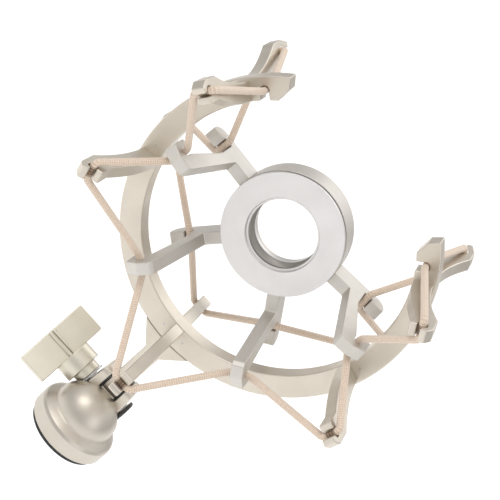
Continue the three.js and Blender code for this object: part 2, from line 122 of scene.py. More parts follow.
# ---- cord -----------------------------------------------------------------------------
CORD_RADIUS = 1.2
BOW_CORD_R = 54.8
BOW_FRONT_W = 39.8
BOW_REAR_W = 38.0
FRONT_CORD_R = 39.4
FRONT_CORD_W = 21.1
REAR_CORD_R = 34.05
REAR_CORD_W = -12.2
BEND = 1.0
CORD_STEP = 0.2
CORD_SIDES = 20
CORD_STRANDS = 7
CORD_LAY = 1.5
CORD_RELIEF = 0.045
# pinch near each cord end, where the cord lies in a slot; its length and fade also place the painted shade on
# the cord there
PINCH_AND_SHADE_LENGTH = 1.9
PINCH_AND_SHADE_FADE = 0.8
PINCH_DEPTH = 0.25


# ---- places ---------------------------------------------------------------------------
def radial_plane(degrees):
    """Outward, forward and sideways directions of a radial plane of the suspension."""
    angle = math.radians(degrees)
    outward = Vector((math.sin(angle), 0, -math.cos(angle)))
    sideways = Vector((math.cos(angle), 0, math.sin(angle)))
    return outward, Vector((0, -1, 0)), sideways


def frame_matrix(x_axis, y_axis, z_axis, origin):
    """A matrix from its three column directions and its origin."""
    matrix = Matrix((x_axis, y_axis, z_axis)).transposed().to_4x4()
    matrix.translation = Vector(origin)
    return matrix


def radial_place(degrees):
    """Drawing plane: x outwards, y forwards, z square to the plate."""
    outward, forward, sideways = radial_plane(degrees)
    return frame_matrix(outward, forward, -sideways, (0, HINGE_Y, HUB_Z))


def ring_place():
    """Drawing plane parallel to the ring, seen from the front."""
    return frame_matrix((1, 0, 0), (0, 0, 1), (0, -1, 0), (0, HINGE_Y, HUB_Z))


def hinge_place(shift=0.0):
    """Drawing plane square to the joint axis: x backwards, y up."""
    return frame_matrix((0, 1, 0), (0, 0, 1), (1, 0, 0), (shift, HINGE_Y, HINGE_Z))


def hub_axis_place():
    """Turning axis along the suspension, heights counted forwards."""
    return frame_matrix((1, 0, 0), (0, 0, 1), (0, -1, 0), (0, HINGE_Y, HUB_Z))


def hub_point(radius, forwards, offset, degrees):
    """A point of the suspension."""
    outward, forward, sideways = radial_plane(degrees)
    return Vector((0, HINGE_Y, HUB_Z)) + outward * radius + forward * forwards + sideways * offset


# ---- meshes ---------------------------------------------------------------------------
def new_object(name, vertices, faces, sharp=32.0, uvs=None):
    """An object from vertices in millimetres, smooth but for its sharp edges."""
    mesh = bpy.data.meshes.new(name)
    mesh.from_pydata([tuple(c * MM for c in v) for v in vertices], [], faces)
    mesh.validate()
    mesh.shade_smooth()
    mesh.set_sharp_from_angle(angle=math.radians(sharp))
    if uvs is not None:
        layer = mesh.uv_layers.new(name="along")
        for loop in mesh.loops:
            layer.data[loop.index].uv = uvs[loop.vertex_index]
    obj = bpy.data.objects.new(name, mesh)
    bpy.context.collection.objects.link(obj)
    return obj


def rounded(points, radius, keep=()):
    """A closed outline with its corners rounded, except the corners listed in keep."""
    out = []
    count = len(points)
    steps = 4
    for index, corner in enumerate(points):
        before = Vector(points[index - 1])
        here = Vector(corner)
        after = Vector(points[(index + 1) % count])
        into = before - here
        onwards = after - here
        turn = math.pi - into.angle(onwards)
        if index in keep or turn < math.radians(12):
            out.append(tuple(here))
            continue
        cut = min(radius * math.tan(turn / 2), 0.42 * into.length, 0.42 * onwards.length)
        start = here + into.normalized() * cut
        end = here + onwards.normalized() * cut
        for step in range(steps + 1):
            t = step / steps
            out.append(tuple(start.lerp(here, t).lerp(here.lerp(end, t), t)))
    return out


def area_sign(points):
    """Positive when the outline runs anticlockwise."""
    total = 0.0
    for (x0, y0), (x1, y1) in zip(points, points[1:] + points[:1]):
        total += x0 * y1 - x1 * y0
    return total


def prism(name, outline, half, place, bevel=0.35, shift=0.0):
    """A flat plate with this outline, bevelled along its rims."""
    if area_sign(outline) < 0:
        outline = outline[::-1]
    count = len(outline)
    low = [place @ Vector((x, y, shift - half)) for x, y in outline]
    high = [place @ Vector((x, y, shift + half)) for x, y in outline]
    faces = [tuple(range(count - 1, -1, -1)), tuple(range(count, 2 * count))]
    for index in range(count):
        after = (index + 1) % count
        faces.append((index, after, count + after, count + index))
    obj = new_object(name, low + high, faces)
    soften(obj, bevel)
    return obj


def soften(obj, width):
    """Rounds the rims of a plate."""
    bevel = obj.modifiers.new("rims", "BEVEL")
    bevel.width = width * MM
    bevel.segments = 3
    bevel.limit_method = "ANGLE"
    bevel.angle_limit = math.radians(50)
    bevel.use_clamp_overlap = False
    bevel.harden_normals = True


def turned(name, profile, place, steps=128, radius=0.3, sharp=40.0):
    """A turned piece: a closed profile of (radius, height), with rounded corners."""
    on_axis = [index for index, (r, _) in enumerate(profile) if r == 0]
    profile = rounded(profile, radius, on_axis)
    if area_sign(profile) < 0:
        profile = profile[::-1]
    vertices = []
    for step in range(steps):
        angle = 2 * math.pi * step / steps
        for r, h in profile:
            vertices.append(place @ Vector((r * math.cos(angle), r * math.sin(angle), h)))
    rows = len(profile)
    faces = []
    for step in range(steps):
        here = step * rows
        after = ((step + 1) % steps) * rows
        for index in range(rows):
            up = (index + 1) % rows
            if profile[index][0] == 0 and profile[up][0] == 0:
                continue
            faces.append((here + index, after + index, after + up, here + up))
    obj = new_object(name, vertices, faces, sharp)
    tidy_axis(obj)
    weigh_normals(obj)
    return obj


def tidy_axis(obj):
    """Joins the vertices that fall together on the turning axis."""
    work = bmesh.new()
    work.from_mesh(obj.data)
    bmesh.ops.remove_doubles(work, verts=work.verts, dist=1e-7)
    work.to_mesh(obj.data)
    work.free()


def weigh_normals(obj):
    """Keeps wide flat faces flat where they meet rounded rims."""
    weighted = obj.modifiers.new("flats", "WEIGHTED_NORMAL")
    weighted.keep_sharp = True


def thread(name, bore, depth, pitch, low, high, place, steps=96):
    """A sleeve with a helical thread cut in its bore."""
    per_turn = 8
    rows = int((high - low) / pitch * per_turn)
    vertices = []
    faces = []
    for row in range(rows + 1):
        height = low + (high - low) * row / rows
        for step in range(steps):
            turn = step / steps
            phase = (height / pitch - turn) % 1.0
            radius = bore + depth * abs(2 * phase - 1)
            angle = 2 * math.pi * turn
            vertices.append(place @ Vector((radius * math.cos(angle), radius * math.sin(angle), height)))
    for row in range(rows):
        for step in range(steps):
            after = (step + 1) % steps
            a = row * steps
            faces.append((a + step, a + steps + step, a + steps + after, a + after))
    outer = bore + depth + 0.1
    base = len(vertices)
    for height in (low, high):
        for step in range(steps):
            angle = 2 * math.pi * step / steps
            vertices.append(place @ Vector((outer * math.cos(angle), outer * math.sin(angle), height)))
    for step in range(steps):
        after = (step + 1) % steps
        top = rows * steps
        faces.append((base + step, base + after, base + steps + after, base + steps + step))
        faces.append((step, after, base + after, base + step))
        faces.append((top + step, base + steps + step, base + steps + after, top + after))
    return new_object(name, vertices, faces, 60.0)


def cut_away(obj, cutter):
    """Cuts one mesh out of another and removes the cutter."""
    boolean = obj.modifiers.new("cut", "BOOLEAN")
    boolean.operation = "DIFFERENCE"
    boolean.solver = "EXACT"
    boolean.object = cutter
    graph = bpy.context.evaluated_depsgraph_get()
    mesh = bpy.data.meshes.new_from_object(obj.evaluated_get(graph))
    obj.modifiers.clear()
    obj.data = mesh
    bpy.data.objects.remove(cutter)


def finish_piece(obj, body, nodes, material):
    """Colours a piece, puts it on its body and hides the CAD nodes it stands for."""
    obj.data.materials.clear()
    obj.data.materials.append(material)
    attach(obj, body)
    if nodes:
        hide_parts(*nodes)


# ---- materials ------------------------------------------------------------------------
class Nodes:
    """Short words for building a material's node tree."""

    def __init__(self, name):
        self.material = bpy.data.materials.new(name)
        self.material.use_nodes = True
        self.tree = self.material.node_tree
        self.shader = self.tree.nodes["Principled BSDF"]
        self.where = self.tree.nodes.new("ShaderNodeTexCoord")

    def add(self, kind, **settings):
        node = self.tree.nodes.new(kind)
        for key, value in settings.items():
            setattr(node, key, value)
        return node

    def link(self, source, target):
        self.tree.links.new(source, target)

    def noise(self, scale, detail=3.0, source=None):
        node = self.add("ShaderNodeTexNoise")
        node.inputs["Scale"].default_value = scale
        node.inputs["Detail"].default_value = detail
        self.link(source or self.where.outputs["Object"], node.inputs["Vector"])
        return node.outputs["Fac"]

    def ramp(self, source, stops):
        node = self.add("ShaderNodeValToRGB")
        ramp = node.color_ramp
        while len(ramp.elements) < len(stops):
            ramp.elements.new(0.5)
        for element, (place, colour) in zip(ramp.elements, stops):
            element.position = place
            element.color = (*colour, 1.0)
        self.link(source, node.inputs["Fac"])
        return node.outputs["Color"]

    def spread(self, source, low, high):
        node = self.add("ShaderNodeMapRange")
        node.inputs["To Min"].default_value = low
        node.inputs["To Max"].default_value = high
        self.link(source, node.inputs["Value"])
        return node.outputs["Result"]

    def math(self, operation, a, b=None):
        node = self.add("ShaderNodeMath", operation=operation)
        for socket, value in zip(node.inputs, (a, b)):
            if value is None:
                continue
            if isinstance(value, (int, float)):
                socket.default_value = value
            else:
                self.link(value, socket)
        return node.outputs[0]

    def bump(self, source, strength, distance, after=None):
        node = self.add("ShaderNodeBump")
        node.inputs["Strength"].default_value = strength
        node.inputs["Distance"].default_value = distance
        self.link(source, node.inputs["Height"])
        if after is not None:
            self.link(after, node.inputs["Normal"])
        return node.outputs["Normal"]

    def rings(self, axis, centre, spacing):
        """Fine turning marks: a wave of the distance from an axis."""
        split = self.add("ShaderNodeSeparateXYZ")
        self.link(self.where.outputs["Object"], split.inputs[0])
        kept = [index for index in range(3) if index != axis]
        squares = []
        for index in kept:
            moved = self.math("SUBTRACT", split.outputs[index], centre[index])
            squares.append(self.math("MULTIPLY", moved, moved))
        distance = self.math("SQRT", self.math("ADD", *squares))
        return self.math("SINE", self.math("MULTIPLY", distance, 2 * math.pi / spacing))

    def set(self, **values):
        names = {
            "metallic": "Metallic",
            "roughness": "Roughness",
            "anisotropic": "Anisotropic",
            "specular": "Specular IOR Level",
            "sheen": "Sheen Weight",
            "sheen_roughness": "Sheen Roughness",
        }
        for key, value in values.items():
            self.shader.inputs[names[key]].default_value = value


def satin_metal(name, dark, light, roughness=(0.3, 0.4), grain=0.25):
    """Blasted and plated metal: fine grain and faint clouds."""
    nodes = Nodes(name)
    nodes.set(metallic=1.0)
    clouds = nodes.noise(90.0, 4.0)
    nodes.link(nodes.ramp(clouds, [(0.3, dark), (0.7, light)]), nodes.shader.inputs["Base Color"])
    smears = nodes.noise(400.0, 5.0)
    nodes.link(nodes.spread(smears, *roughness), nodes.shader.inputs["Roughness"])
    fine = nodes.bump(nodes.noise(6000.0, 2.0), grain, 0.00003)
    soft = nodes.bump(nodes.noise(250.0, 2.0), 0.08, 0.0002, fine)
    nodes.link(soft, nodes.shader.inputs["Normal"])
    return nodes.material


def turned_metal(name, dark, light, axis, centre, roughness=(0.22, 0.34), marks=0.00025, stretch=0.5):
    """Turned metal: rings of tool marks round an axis, and highlights drawn out across them."""
    nodes = Nodes(name)
    nodes.set(metallic=1.0, anisotropic=stretch)
    clouds = nodes.noise(120.0, 3.0)
    nodes.link(nodes.ramp(clouds, [(0.3, dark), (0.7, light)]), nodes.shader.inputs["Base Color"])
    nodes.link(nodes.spread(nodes.noise(900.0, 4.0), *roughness), nodes.shader.inputs["Roughness"])
    marks_bump = nodes.bump(nodes.rings(axis, centre, marks), 0.05, 0.00001)
    grain = nodes.bump(nodes.noise(5000.0, 2.0), 0.05, 0.00002, marks_bump)
    nodes.link(grain, nodes.shader.inputs["Normal"])
    tangent = nodes.add("ShaderNodeTangent", direction_type="RADIAL", axis="XYZ"[axis])
    nodes.link(tangent.outputs[0], nodes.shader.inputs["Tangent"])
    return nodes.material


def dark_material(name, dark, light, roughness, bump_scale):
    """Black rubber, nylon or blacked steel with a fine uneven skin."""
    nodes = Nodes(name)
    clouds = nodes.noise(300.0, 4.0)
    nodes.link(nodes.ramp(clouds, [(0.3, dark), (0.7, light)]), nodes.shader.inputs["Base Color"])
    nodes.link(nodes.spread(nodes.noise(800.0), *roughness), nodes.shader.inputs["Roughness"])
    nodes.link(nodes.bump(nodes.noise(bump_scale, 3.0), 0.3, 0.00004), nodes.shader.inputs["Normal"])
    return nodes.material


def cord_material():
    """Braided sleeve: two shades of thread that cross, with a soft sheen, and painted shade that darkens the
    cord where it lies in the fork slots.
    """
    nodes = Nodes("braided_cord")
    nodes.set(sheen=0.35, sheen_roughness=0.5, specular=0.25)
    split = nodes.add("ShaderNodeSeparateXYZ")
    nodes.link(nodes.where.outputs["UV"], split.inputs[0])
    turn = nodes.math("MULTIPLY", split.outputs[0], CORD_STRANDS * 2 * math.pi)
    run = nodes.math("MULTIPLY", split.outputs[1], 2 * math.pi / CORD_LAY)
    one = nodes.math("SINE", nodes.math("ADD", run, turn))
    other = nodes.math("SINE", nodes.math("SUBTRACT", run, turn))
    weave = nodes.spread(nodes.math("MULTIPLY", one, other), 0.0, 1.0)
    threads = nodes.math("MULTIPLY", weave, 0.7)
    fluff = nodes.math("MULTIPLY", nodes.noise(1500.0), 0.5)
    mixed = nodes.math("ADD", threads, fluff)
    stops = [(0.15, (0.60, 0.46, 0.35)), (0.45, (0.75, 0.62, 0.50)), (0.9, (0.84, 0.72, 0.61))]
    # painted shade: the cord's colour turns dark brown where it lies in the shadowed fork slots
    painted_slot_shade = nodes.add("ShaderNodeAttribute", attribute_name="pinch_and_slot_shade")
    mix = nodes.add("ShaderNodeMix", data_type="RGBA")
    nodes.link(painted_slot_shade.outputs["Fac"], mix.inputs["Factor"])
    nodes.link(nodes.ramp(mixed, stops), mix.inputs[6])
    slot_shade_stops = [(0.3, (0.16, 0.10, 0.06)), (0.7, (0.50, 0.38, 0.28))]
    nodes.link(nodes.ramp(mixed, slot_shade_stops), mix.inputs[7])
    nodes.link(mix.outputs[2], nodes.shader.inputs["Base Color"])
    nodes.link(nodes.spread(nodes.noise(2000.0), 0.75, 0.95), nodes.shader.inputs["Roughness"])
    fibres = nodes.bump(nodes.noise(9000.0, 4.0), 0.5, 0.00006)
    nodes.link(fibres, nodes.shader.inputs["Normal"])
    return nodes.material


def floor_material():
    """Plain pale floor with hardly any mottling."""
    nodes = Nodes("pale_floor")
    nodes.set(specular=0.1)
    nodes.shader.inputs["Emission Color"].default_value = (1.0, 1.0, 1.0, 1.0)
    nodes.shader.inputs["Emission Strength"].default_value = 0.2
    stops = [(0.3, (0.93, 0.93, 0.93)), (0.7, (0.95, 0.95, 0.95))]
    nodes.link(nodes.ramp(nodes.noise(2.0), stops), nodes.shader.inputs["Base Color"])
    nodes.link(nodes.spread(nodes.noise(5.0), 0.8, 0.9), nodes.shader.inputs["Roughness"])
    return nodes.material


# ---- stand base -----------------------------------------------------------------------
def dome_profile():
    """Half section of the collar, its waist and the dome."""
    profile = [
        (SOCKET_RADIUS, FOOT_RING_DEPTH),
        (FOOT_RING_OUTER + 0.2, FOOT_RING_DEPTH),
        (FOOT_RING_OUTER + 0.2, 0),
        (COLLAR_RADIUS - 0.6, 0),
        (COLLAR_RADIUS, 0.6),
        (COLLAR_RADIUS, COLLAR_HEIGHT),
        (COLLAR_RADIUS - 0.5, COLLAR_HEIGHT + 1.1),
        (COLLAR_RADIUS - 1.8, SHOULDER_HEIGHT - 0.5),
        (DOME_RADIUS + 0.7, SHOULDER_HEIGHT),
        (DOME_RADIUS, SHOULDER_HEIGHT + 0.5),
    ]
    steps = 28
    for step in range(1, steps):
        rise = step / steps * math.pi / 2
        profile.append((DOME_RADIUS * math.cos(rise), DOME_HEIGHT + DOME_RADIUS * math.sin(rise)))
    profile.append((0, DOME_HEIGHT + DOME_RADIUS))
    profile.append((0, SOCKET_DEPTH))
    profile.append((SOCKET_RADIUS, SOCKET_DEPTH))
    return profile


def slot_outline():
    """The gap for the tongue, seen along the joint axis."""
    reach = TONGUE_HEAD + 0.5
    points = [(-reach, 30)]
    for step in range(13):
        angle = math.pi + step / 12 * math.pi / 2
        points.append((reach * math.cos(angle), reach * math.sin(angle)))
    return points + [(30, -reach), (30, 30)]


def ear_outline():
    """An ear of the joint, seen along its axis, down to where it is inside the dome."""
    low = -5.0
    corners = [(-EAR_DEPTH, low), (EAR_DEPTH, low), (EAR_DEPTH, EAR_TOP), (-EAR_DEPTH, EAR_TOP)]
    return rounded(corners, EAR_CORNER, (0, 1))


def build_base(satin, turned_finish, rubber, brass):
    dome = turned("base_dome", dome_profile(), Matrix(), 144, 0.35)
    dome.modifiers.clear()
    cut_away(dome, prism_plain("slot_cutter", slot_outline(), EAR_INNER, hinge_place()))
    seat = KEY_COLLAR_RADIUS + 1.0
    for side in (-1, 1):
        middle = side * (EAR_OUTER + 10)
        cut_away(dome, prism_plain("seat_cutter", circle(seat, 64), 10, hinge_place(middle)))
    dome.data.shade_smooth()
    dome.data.set_sharp_from_angle(angle=math.radians(30))
    finish_piece(dome, "base", ["stand_base"], turned_finish)
    half = (EAR_OUTER - EAR_INNER) / 2
    for side, word in ((-1, "left"), (1, "right")):
        place = hinge_place(side * (EAR_INNER + half))
        ear = prism(f"base_ear_{word}", ear_outline(), half, place, 0.4)
        taper_ear(ear, side)
        finish_piece(ear, "base", [], satin)
    foot = turned("foot_ring_rubber", [
        (FOOT_RING_INNER, -FOOT_RING_PROUD),
        (FOOT_RING_OUTER, -FOOT_RING_PROUD),
        (FOOT_RING_OUTER, FOOT_RING_DEPTH - 0.1),
        (FOOT_RING_INNER, FOOT_RING_DEPTH - 0.1),
    ], Matrix(), 96, 0.45)
    finish_piece(foot, "base", ["foot_ring"], rubber)
    low = FOOT_RING_DEPTH - 1.0
    high = SOCKET_DEPTH - 0.3
    bush = turned("bush_body", [
        (BUSH_BORE + 0.9, low),
        (BUSH_RADIUS, low),
        (BUSH_RADIUS, high),
        (BUSH_BORE + 0.9, high),
    ], Matrix(), 96, 0.3)
    finish_piece(bush, "base", ["thread_bush"], brass)
    grooves = thread("bush_thread", BUSH_BORE, 0.85, BUSH_PITCH, low + 0.05, high - 0.05, Matrix())
    finish_piece(grooves, "base", [], brass)


def taper_ear(ear, side):
    """Draws the outer face of an ear inwards towards its top."""
    start = HINGE_Z + 2.0
    for vertex in ear.data.vertices:
        x, _, z = vertex.co / MM
        if side * x > EAR_OUTER - 0.1 and z > start:
            share = (z - start) / (HINGE_Z + EAR_TOP - start)
            vertex.co.x = side * (EAR_OUTER + (EAR_CROWN - EAR_OUTER) * share) * MM


def prism_plain(name, outline, half, place):
    """A plate with plain edges, for cutting with."""
    obj = prism(name, outline, half, place)
    obj.modifiers.clear()
    return obj


def circle(radius, count, x=0.0, y=0.0):
    """Points of a circle, anticlockwise."""
    step = 2 * math.pi / count
    return [(x + radius * math.cos(i * step), y + radius * math.sin(i * step)) for i in range(count)]


# ---- clamp screw ----------------------------------------------------------------------
def key_place():
    """Drawing plane of the wings: x along the joint axis, y along the wings."""
    turn = math.radians(KEY_TURN)
    across = Vector((0, math.cos(turn), math.sin(turn)))
    normal = Vector((0, -math.sin(turn), math.cos(turn)))
    return frame_matrix((1, 0, 0), across, normal, (0, HINGE_Y, HINGE_Z))


def build_key(satin):
    near = -KEY_PLATE_NEAR
    far = -KEY_PLATE_FAR
    corners = [(near, -KEY_PLATE_HALF), (near, KEY_PLATE_HALF), (far, KEY_PLATE_HALF), (far, -KEY_PLATE_HALF)]
    plate = prism("key_wings", rounded(corners, 0.9), KEY_PLATE_THICK, key_place(), 0.35)
    finish_piece(plate, "key", ["wing_key"], satin)
    for side in (-1, 1):
        middle = side * KEY_RIB_SHIFT
        low = middle - KEY_RIB_HALF
        high = middle + KEY_RIB_HALF
        outline = [(near + 0.6, low), (near + 0.6, high), (far + 0.2, high), (far + 0.2, low)]
        half = KEY_PLATE_THICK + KEY_RIB_PROUD
        rib = prism(f"key_rib_{side}", rounded(outline, 0.4), half, key_place(), 0.4)
        finish_piece(rib, "key", [], satin)
    body = turned("key_hub", [
        (2.6, -KEY_PLATE_NEAR + 2),
        (0, -KEY_PLATE_NEAR + 2),
        (0, -KEY_PLATE_NEAR - 0.1),
        (KEY_HUB_RADIUS, -KEY_PLATE_NEAR - 0.1),
        (KEY_HUB_RADIUS, -KEY_HUB_NEAR),
        (KEY_COLLAR_RADIUS, -KEY_HUB_NEAR),
        (KEY_COLLAR_RADIUS, -KEY_NEAR),
        (2.6, -KEY_NEAR),
    ], hinge_axis_place(), 96, 0.35)
    finish_piece(body, "key", [], satin)


def hinge_axis_place():
    """Turning axis along the tilting joint, heights counted along +X."""
    return frame_matrix((0, 0, -1), (0, 1, 0), (1, 0, 0), (0, HINGE_Y, HINGE_Z))


# ---- outer frame ------------------------------------------------------------------------
def polar(radius, degrees):
    """A point of the ring's drawing plane."""
    angle = math.radians(degrees)
    return (radius * math.sin(angle), -radius * math.cos(angle))


def arc(radius, start, end, steps):
    """Points of an arc about the hub."""
    return [polar(radius, start + (end - start) * step / steps) for step in range(steps + 1)]


def notch(side):
    """Outline of the notch that holds the cord."""
    turn = math.radians(side * NOTCH_ANGLE)
    along = Vector((math.sin(turn), -math.cos(turn)))
    across = Vector((math.cos(turn), math.sin(turn))) * side
    steps = 12
    points = []
    for step in range(steps + 1):
        sweep = math.pi * step / steps
        point = along * (NOTCH_END + SLOT_HALF * math.sin(sweep)) + across * (SLOT_HALF * math.cos(sweep))
        points.append(tuple(point))
    return points


def ring_outline():
    mouth = math.degrees(math.asin(SLOT_HALF / RING_INNER))
    corner = 135.3
    bevel = 48.8
    return [
        *arc(RING_OUTER, -RING_END, RING_END, 180),
        polar(bevel, RING_END),
        polar(RING_INNER, corner),
        polar(RING_INNER, NOTCH_ANGLE + mouth),
        *notch(1),
        *arc(RING_INNER, NOTCH_ANGLE - mouth, -NOTCH_ANGLE + mouth, 160),
        *notch(-1)[::-1],
        polar(RING_INNER, -NOTCH_ANGLE - mouth),
        polar(RING_INNER, -corner),
        polar(bevel, -RING_END),
    ]


def curve_through(start, control, end, steps=12):
    """Points of a quadratic curve, without its first."""
    a, b, c = Vector(start), Vector(control), Vector(end)
    return [tuple(a.lerp(b, s / steps).lerp(b.lerp(c, s / steps), s / steps)) for s in range(1, steps + 1)]


def half_circle(x, y, radius, steps=10):
    """The round end of a slot, from its right side down and round to its left side."""
    points = []
    for step in range(1, steps):
        angle = -math.pi * step / steps
        points.append((x + radius * math.cos(angle), y + radius * math.sin(angle)))
    return points


def bow_outline(fork, tip):
    """One half of a bow with its fork, in radius and distance from the ring plane."""
    foot = RING_HALF + 0.05
    head = rounded([
        (58.2, fork - 6.5),
        (58.3, fork + 1.9),
        (56.6, fork + tip),
        (54.6, fork + tip - 0.5),
        (54.9, fork + tip - 2.4),
        (BOW_CORD_R + SLOT_HALF, fork + 1.5),
        (BOW_CORD_R + SLOT_HALF, fork),
    ], 0.6, (0, 6))
    tail = rounded([
        (BOW_CORD_R - SLOT_HALF, fork),
        (BOW_CORD_R - SLOT_HALF, fork + 1.1),
        (51.4, fork + 1.1),
        (51.0, fork + 0.6),
        (51.0, fork - 6.6),
    ], 0.5, (0, 4))
    return [
        (45.2, foot),
        (51.7, foot),
        *curve_through((51.7, foot), (51.9, fork - 20.8), (58.2, fork - 6.5))[:-1],
        *head,
        *half_circle(BOW_CORD_R, fork, SLOT_HALF),
        *tail,
        *curve_through((51.0, fork - 6.6), (45.6, fork - 20.8), (45.2, foot))[:-1],
    ]


def stem_outline():
    web = 11
    return [
        *arc(RING_OUTER + 0.05, -web, web, 16),
        (TONGUE_HALF, -59.5),
        (TONGUE_HALF, -84.3),
        (-TONGUE_HALF, -84.3),
        (-TONGUE_HALF, -59.5),
    ]


def build_frame(satin, steel):
    ring = prism("ring_plate", ring_outline(), RING_HALF, ring_place(), 0.4)
    finish_piece(ring, "frame", ["c_ring"], satin)
    stem = prism("stem_plate", stem_outline(), STEM_THICK, ring_place(), 0.35)
    finish_piece(stem, "frame", ["stem"], satin)
    head = turned("stem_head", [
        (BOLT_HOLE, -TONGUE_HALF),
        (TONGUE_HEAD, -TONGUE_HALF),
        (TONGUE_HEAD, TONGUE_HALF),
        (BOLT_HOLE, TONGUE_HALF),
    ], hinge_axis_place(), 64, 0.3)
    finish_piece(head, "frame", [], satin)
    for name, degrees in zip(BOW_NAMES, BOW_ANGLES):
        outline = bow_outline(BOW_FRONT_W, FRONT_TIP)
        front = prism(f"{name}_plate_front", outline, BOW_HALF, radial_place(degrees))
        finish_piece(front, "frame", [f"{name}_front"], satin)
        outline = [(x, -y) for x, y in bow_outline(BOW_REAR_W, REAR_TIP)]
        rear = prism(f"{name}_plate_rear", outline, BOW_HALF, radial_place(degrees))
        finish_piece(rear, "frame", [f"{name}_rear"], satin)
        build_pins(name, degrees, steel)


def build_pins(name, degrees, steel):
    """Flush pins that hold a bow, seen as small dots on both faces of the ring."""
    for index, (radius, offset) in enumerate(((48.9, -4.4), (48.9, 4.4))):
        x, y = polar(radius, degrees + math.degrees(offset / radius))
        place = ring_place() @ Matrix.Translation((x, y, 0))
        reach = RING_HALF + 0.03
        profile = [(0, -reach), (PIN_RADIUS, -reach), (PIN_RADIUS, reach), (0, reach)]
        pin = turned(f"{name}_pin_{index}", profile, place, 16, 0.1)
        finish_piece(pin, "frame", [], steel)


# ---- inner cradle -----------------------------------------------------------------------
def arm_outline():
    """A branch forwards and a short hook backwards on a common stub."""
    back = rounded([
        (40.7, -13.2),
        (40.7, -10.8),
        (35.5, -10.8),
        (35.5, REAR_CORD_W),
    ], 0.5, (0, 3))
    crook = rounded([
        (32.6, REAR_CORD_W),
        (32.6, -2.3),
        (37.9, 18.5),
        (37.95, FRONT_CORD_W),
    ], 1.5, (0, 3))
    head = rounded([
        (40.85, FRONT_CORD_W),
        (40.85, 16.2),
        (43.0, 16.2),
        (43.1, 24.0),
        (38.9, 26.7),
        (34.6, 26.7),
        (33.6, 25.3),
        (27.4, -6.9),
        (ARM_ROOT, -6.9),
    ], 0.7, (0, 8))
    rear_slot = half_circle(REAR_CORD_R, REAR_CORD_W, SLOT_HALF)
    front_slot = [(x, 2 * FRONT_CORD_W - y) for x, y in half_circle(FRONT_CORD_R, FRONT_CORD_W, SLOT_HALF)]
    return [
        (ARM_ROOT, HUB_REAR),
        (36.6, HUB_REAR),
        *curve_through((36.6, HUB_REAR), (39.6, HUB_REAR), (40.7, -13.2), 8)[:-1],
        *back,
        *rear_slot,
        *crook,
        *front_slot[::-1],
        *head,
    ]


def build_cradle(satin, face, cut):
    hub = turned("hub_body", [
        (HUB_BORE, HUB_FRONT),
        (HUB_BORE, -14.6),
        (HUB_LIP, -14.6),
        (HUB_LIP, HUB_REAR),
        (HUB_RADIUS, HUB_REAR),
        (HUB_RADIUS, HUB_FRONT),
    ], hub_axis_place(), 160, 0.3)
    finish_piece(hub, "cradle", ["hub_ring"], satin)
    for name, degrees in zip(ARM_NAMES, ARM_ANGLES):
        arm = prism(f"{name}_plate", arm_outline(), ARM_HALF, radial_place(degrees))
        finish_piece(arm, "cradle", [name], satin)
    wall = NUT_BORE + 0.6
    nut = turned("nut_body", [
        (NUT_BORE, NUT_LIP),
        (NUT_BORE, NUT_REAR),
        (NUT_SLEEVE, NUT_REAR),
        (NUT_SLEEVE, HUB_FRONT + NUT_GAP),
        (NUT_RADIUS, HUB_FRONT + NUT_GAP),
        (NUT_RADIUS, NUT_FRONT),
        (NUT_BORE + 1.1, NUT_FRONT),
        (NUT_BORE + 0.8, NUT_FRONT - 1.1),
        (NUT_BORE + 0.2, NUT_FRONT - 1.3),
        (NUT_BORE + 0.2, NUT_FRONT - 1.6),
        (NUT_BORE + 0.9, NUT_FRONT - 1.7),
        (NUT_BORE + 0.9, NUT_FRONT - 2.0),
        (wall, NUT_FRONT - 2.1),
        (wall, NUT_LIP),
    ], hub_axis_place(), 160, 0.15)
    finish_piece(nut, "nut", ["thread_nut"], face)
    low = NUT_LIP + 0.3
    high = NUT_FRONT - 2.2
    # the thread takes the darker material: painted shade inside the deep bore
    grooves = thread("nut_grooves", NUT_BORE, 0.5, NUT_PITCH, low, high, hub_axis_place(), 160)
    finish_piece(grooves, "nut", [], cut)


# ---- cord -------------------------------------------------------------------------------
def smooth_route(corners, cut=1.3):
    """Points of a route with rounded corners, evenly spaced."""
    points = [corners[0]]
    for before, corner, after in zip(corners, corners[1:], corners[2:]):
        into = before - corner
        onwards = after - corner
        start = corner + into.normalized() * min(cut, 0.45 * into.length)
        end = corner + onwards.normalized() * min(cut, 0.45 * onwards.length)
        for step in range(9):
            t = step / 8
            points.append(start.lerp(corner, t).lerp(corner.lerp(end, t), t))
    points.append(corners[-1])
    line = np.array([tuple(p) for p in points])
    lengths = np.concatenate([[0.0], np.cumsum(np.linalg.norm(np.diff(line, axis=0), axis=1))])
    count = int(lengths[-1] / CORD_STEP)
    wanted = np.linspace(0, lengths[-1], count + 1)
    return np.stack([np.interp(wanted, lengths, line[:, axis]) for axis in range(3)], axis=1)


